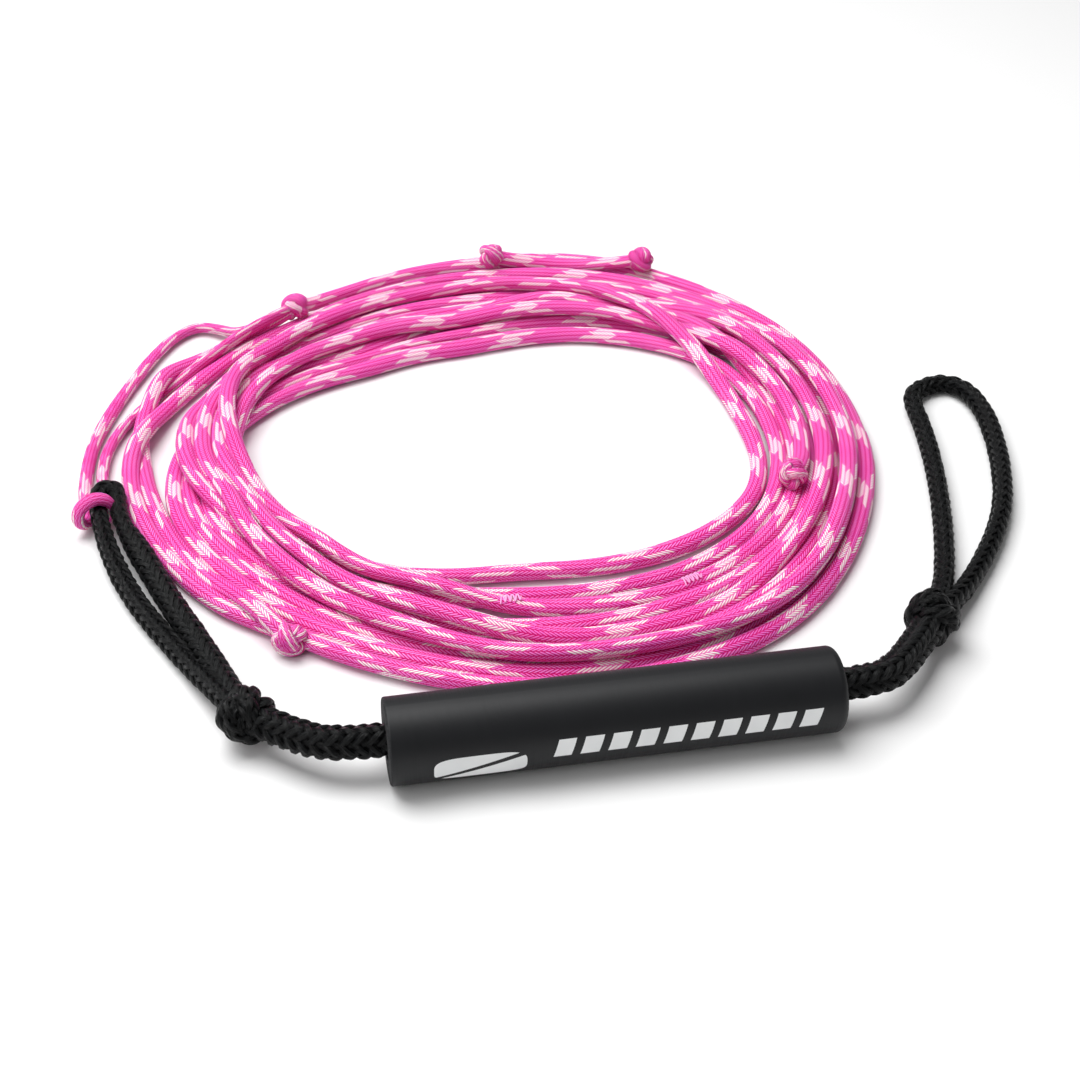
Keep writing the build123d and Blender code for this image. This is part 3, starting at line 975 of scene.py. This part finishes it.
# %% Print on the float
def float_print(tree, x, y, z):
    """1 where the ink is and 0 elsewhere, from the place on the float's surface."""
    up = add(tree, MATH, z, FLOAT_RADIUS, operation="SUBTRACT")
    front = add(tree, MATH, y, -1.0, operation="MULTIPLY")
    angle = add(tree, MATH, up, front, operation="ARCTAN2")
    height = add(tree, MATH, angle, FLOAT_RADIUS, operation="MULTIPLY")
    level = add(tree, MATH, height, BAR_LEVEL, operation="SUBTRACT")
    from_middle = add(tree, MATH, x, BAR_MIDDLE, operation="SUBTRACT")
    reach = []
    for distance, half in zip((from_middle, level), BAR_HALF):
        share = add(tree, MATH, distance, half, operation="DIVIDE")
        share = add(tree, MATH, share, operation="ABSOLUTE")
        reach.append(add(tree, MATH, share, 4.0, operation="POWER"))
    bar = add(tree, MATH, add(tree, MATH, *reach, operation="ADD"), 1.0, operation="LESS_THAN")
    slope = add(tree, MATH, from_middle, CUT_SLOPE, operation="MULTIPLY")
    off_cut = add(tree, MATH, add(tree, MATH, level, slope, operation="SUBTRACT"), operation="ABSOLUTE")
    beside_cut = add(tree, MATH, off_cut, CUT_HALF, operation="GREATER_THAN")
    bar = add(tree, MATH, bar, beside_cut, operation="MULTIPLY")

    row_level = add(tree, MATH, height, ROW_LEVEL, operation="SUBTRACT")
    slant = add(tree, MATH, row_level, BLOCK_SLANT, operation="MULTIPLY")
    along = add(tree, MATH, x, ROW_START, operation="SUBTRACT")
    along = add(tree, MATH, along, slant, operation="SUBTRACT")
    in_pitch = add(tree, MATH, along, BLOCK_PITCH, operation="FLOORED_MODULO")
    block = add(tree, MATH, in_pitch, BLOCK_WIDTH, operation="LESS_THAN")
    in_row = add(tree, MATH, along, ROW_HALF, ROW_HALF - 0.0004, operation="COMPARE")
    off_row = add(tree, MATH, row_level, operation="ABSOLUTE")
    in_height = add(tree, MATH, off_row, ROW_HALF_HEIGHT, operation="LESS_THAN")
    blocks = add(tree, MATH, block, in_row, operation="MULTIPLY")
    blocks = add(tree, MATH, blocks, in_height, operation="MULTIPLY")
    in_front = add(tree, MATH, y, 0.0, operation="LESS_THAN")
    inked = add(tree, MATH, bar, blocks, operation="MAXIMUM")
    return add(tree, MATH, inked, in_front, operation="MULTIPLY")


# %% Material of the float
def ground_foam():
    material, tree = new_material("ground_nitrile_foam")
    place = add(tree, "ShaderNodeTexCoord").outputs["Object"]
    x, y, z = add(tree, "ShaderNodeSeparateXYZ", place).outputs[:3]
    # Grinding lines go round the float, two or three to the millimetre, and fade in and out.
    stretched = [
        add(tree, MATH, part, scale, operation="MULTIPLY")
        for part, scale in ((x, 2600.0), (y, 30.0), (z, 30.0))
    ]
    rings = add(tree, "ShaderNodeCombineXYZ", *stretched)
    ground = add(tree, NOISE, {"Vector": rings, "Scale": 1.0, "Detail": 2.0})
    broad = add(tree, NOISE, {"Vector": place, "Scale": 90.0, "Detail": 3.0})
    # Foam cells are about 0.7 mm across.
    cells = add(tree, "ShaderNodeTexVoronoi", {"Vector": place, "Scale": 1400.0})
    out = add(tree, MATH, x, operation="ABSOLUTE")
    end = add(tree, MATH, out, END_FACE, operation="GREATER_THAN")
    skin = add(tree, MIX, {0: broad, 6: srgb("0b0c0f"), 7: srgb("121316")}, data_type="RGBA")
    # The cut ends are darker towards the middle of each cell, where the bump sinks a pit: painted shade
    # in the pits.
    cut_end_and_pit_shade = add(tree, MIX, {0: cells, 6: srgb("0a0a0b"), 7: srgb("2c2d2f")}, data_type="RGBA")
    foam = add(tree, MIX, {0: end, 6: skin.outputs[2], 7: cut_end_and_pit_shade.outputs[2]}, data_type="RGBA")
    ink = add(tree, MIX, {0: broad, 6: srgb("d8dadb"), 7: srgb("f2f3f3")}, data_type="RGBA")
    printed = float_print(tree, x, y, z)
    colour = add(tree, MIX, {0: printed, 6: foam.outputs[2], 7: ink.outputs[2]}, data_type="RGBA")
    # The skin is satin, and the cut ends are rougher.
    rough = add(tree, MATH, end, 0.3, 0.36, operation="MULTIPLY_ADD")
    rough = add(tree, MATH, ground, 0.24, rough, operation="MULTIPLY_ADD")
    pits = add(tree, MATH, cells, end, operation="MULTIPLY")
    pits = add(tree, MATH, pits, 3.0, operation="MULTIPLY")
    relief = add(tree, MATH, ground, 0.35, pits, operation="MULTIPLY_ADD")
    bump = add(tree, "ShaderNodeBump", {"Strength": 0.35, "Distance": 0.2 * MM, "Height": relief})
    shader = add(
        tree,
        "ShaderNodeBsdfPrincipled",
        {
            "Base Color": colour.outputs[2],
            "Roughness": rough,
            "Normal": bump,
            "IOR": 1.5,
            "Specular IOR Level": 0.3,
        },
    )
    add(tree, "ShaderNodeOutputMaterial", {"Surface": shader})
    return material


float_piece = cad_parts["float_grip"]
foam = ground_foam()
for slot in float_piece.material_slots:
    slot.material = foam
print("float faces:", len(float_piece.data.polygons), "finish nodes:", len(foam.node_tree.nodes))

# %% [markdown]
# ## What is a cord
# A rope has a real length and thickness that stay the same however it lies.  The pieces that
# are ropes are gathered in one list here, and their names are printed.

cords = [line_loop, main_rope, *(piece for piece, _ in seconds), bridle, line_side_eye, boat_side_eye]
print("cords declared:", [piece.name for piece in cords])

# %% [markdown]
# ## Floor and light
# A white floor and one large softbox overhead, a little behind the object, give the soft band
# along the float's top and pale shadows under the ropes.  A second, weaker one fills in from the
# left.  Small lights would make hard shadows and bright dots on the foam.

# %% Floor
floor_mesh = bpy.data.meshes.new("studio_floor")
floor_mesh.from_pydata([(-4, -4, 0), (4, -4, 0), (4, 4, 0), (-4, 4, 0)], [], [(0, 1, 2, 3)])
floor_material, floor_tree = new_material("white_painted_floor")
speck = add(floor_tree, NOISE, {"Scale": 40.0, "Detail": 2.0})
paint = add(floor_tree, MIX, {0: speck, 6: srgb("e7e7e7"), 7: srgb("e9e9e9")}, data_type="RGBA")
floor_shader = add(
    floor_tree, "ShaderNodeBsdfPrincipled", {"Base Color": paint.outputs[2], "Roughness": 0.7}
)
add(floor_tree, "ShaderNodeOutputMaterial", {"Surface": floor_shader})
floor_mesh.materials.append(floor_material)
floor = bpy.data.objects.new("studio_floor", floor_mesh)
bpy.context.collection.objects.link(floor)
print("floor:", floor.name)


# %% Lights
def softbox(name, place, aim, size, power):
    """A square area light that faces a point."""
    data = bpy.data.lights.new(name, "AREA")
    data.shape = "SQUARE"
    data.size = size
    data.energy = power
    lamp = bpy.data.objects.new(name, data)
    lamp.location = place
    lamp.rotation_euler = (Vector(aim) - Vector(place)).to_track_quat("-Z", "Y").to_euler()
    bpy.context.collection.objects.link(lamp)


softbox("overhead", (-0.4, 0.5, 1.45), (0, 0.12, 0), 1.4, 35.0)
softbox("side_fill", (-1.3, -0.7, 1.1), (0, 0.1, 0), 1.3, 8.0)
world = bpy.data.worlds.new("studio")
bpy.context.scene.world = world
world.use_nodes = True
world.node_tree.nodes["Background"].inputs["Color"].default_value = (1, 1, 1, 1)
world.node_tree.nodes["Background"].inputs["Strength"].default_value = 0.3
bpy.context.scene.view_settings.view_transform = "Standard"
print("lights:", [lamp.name for lamp in bpy.data.lights])
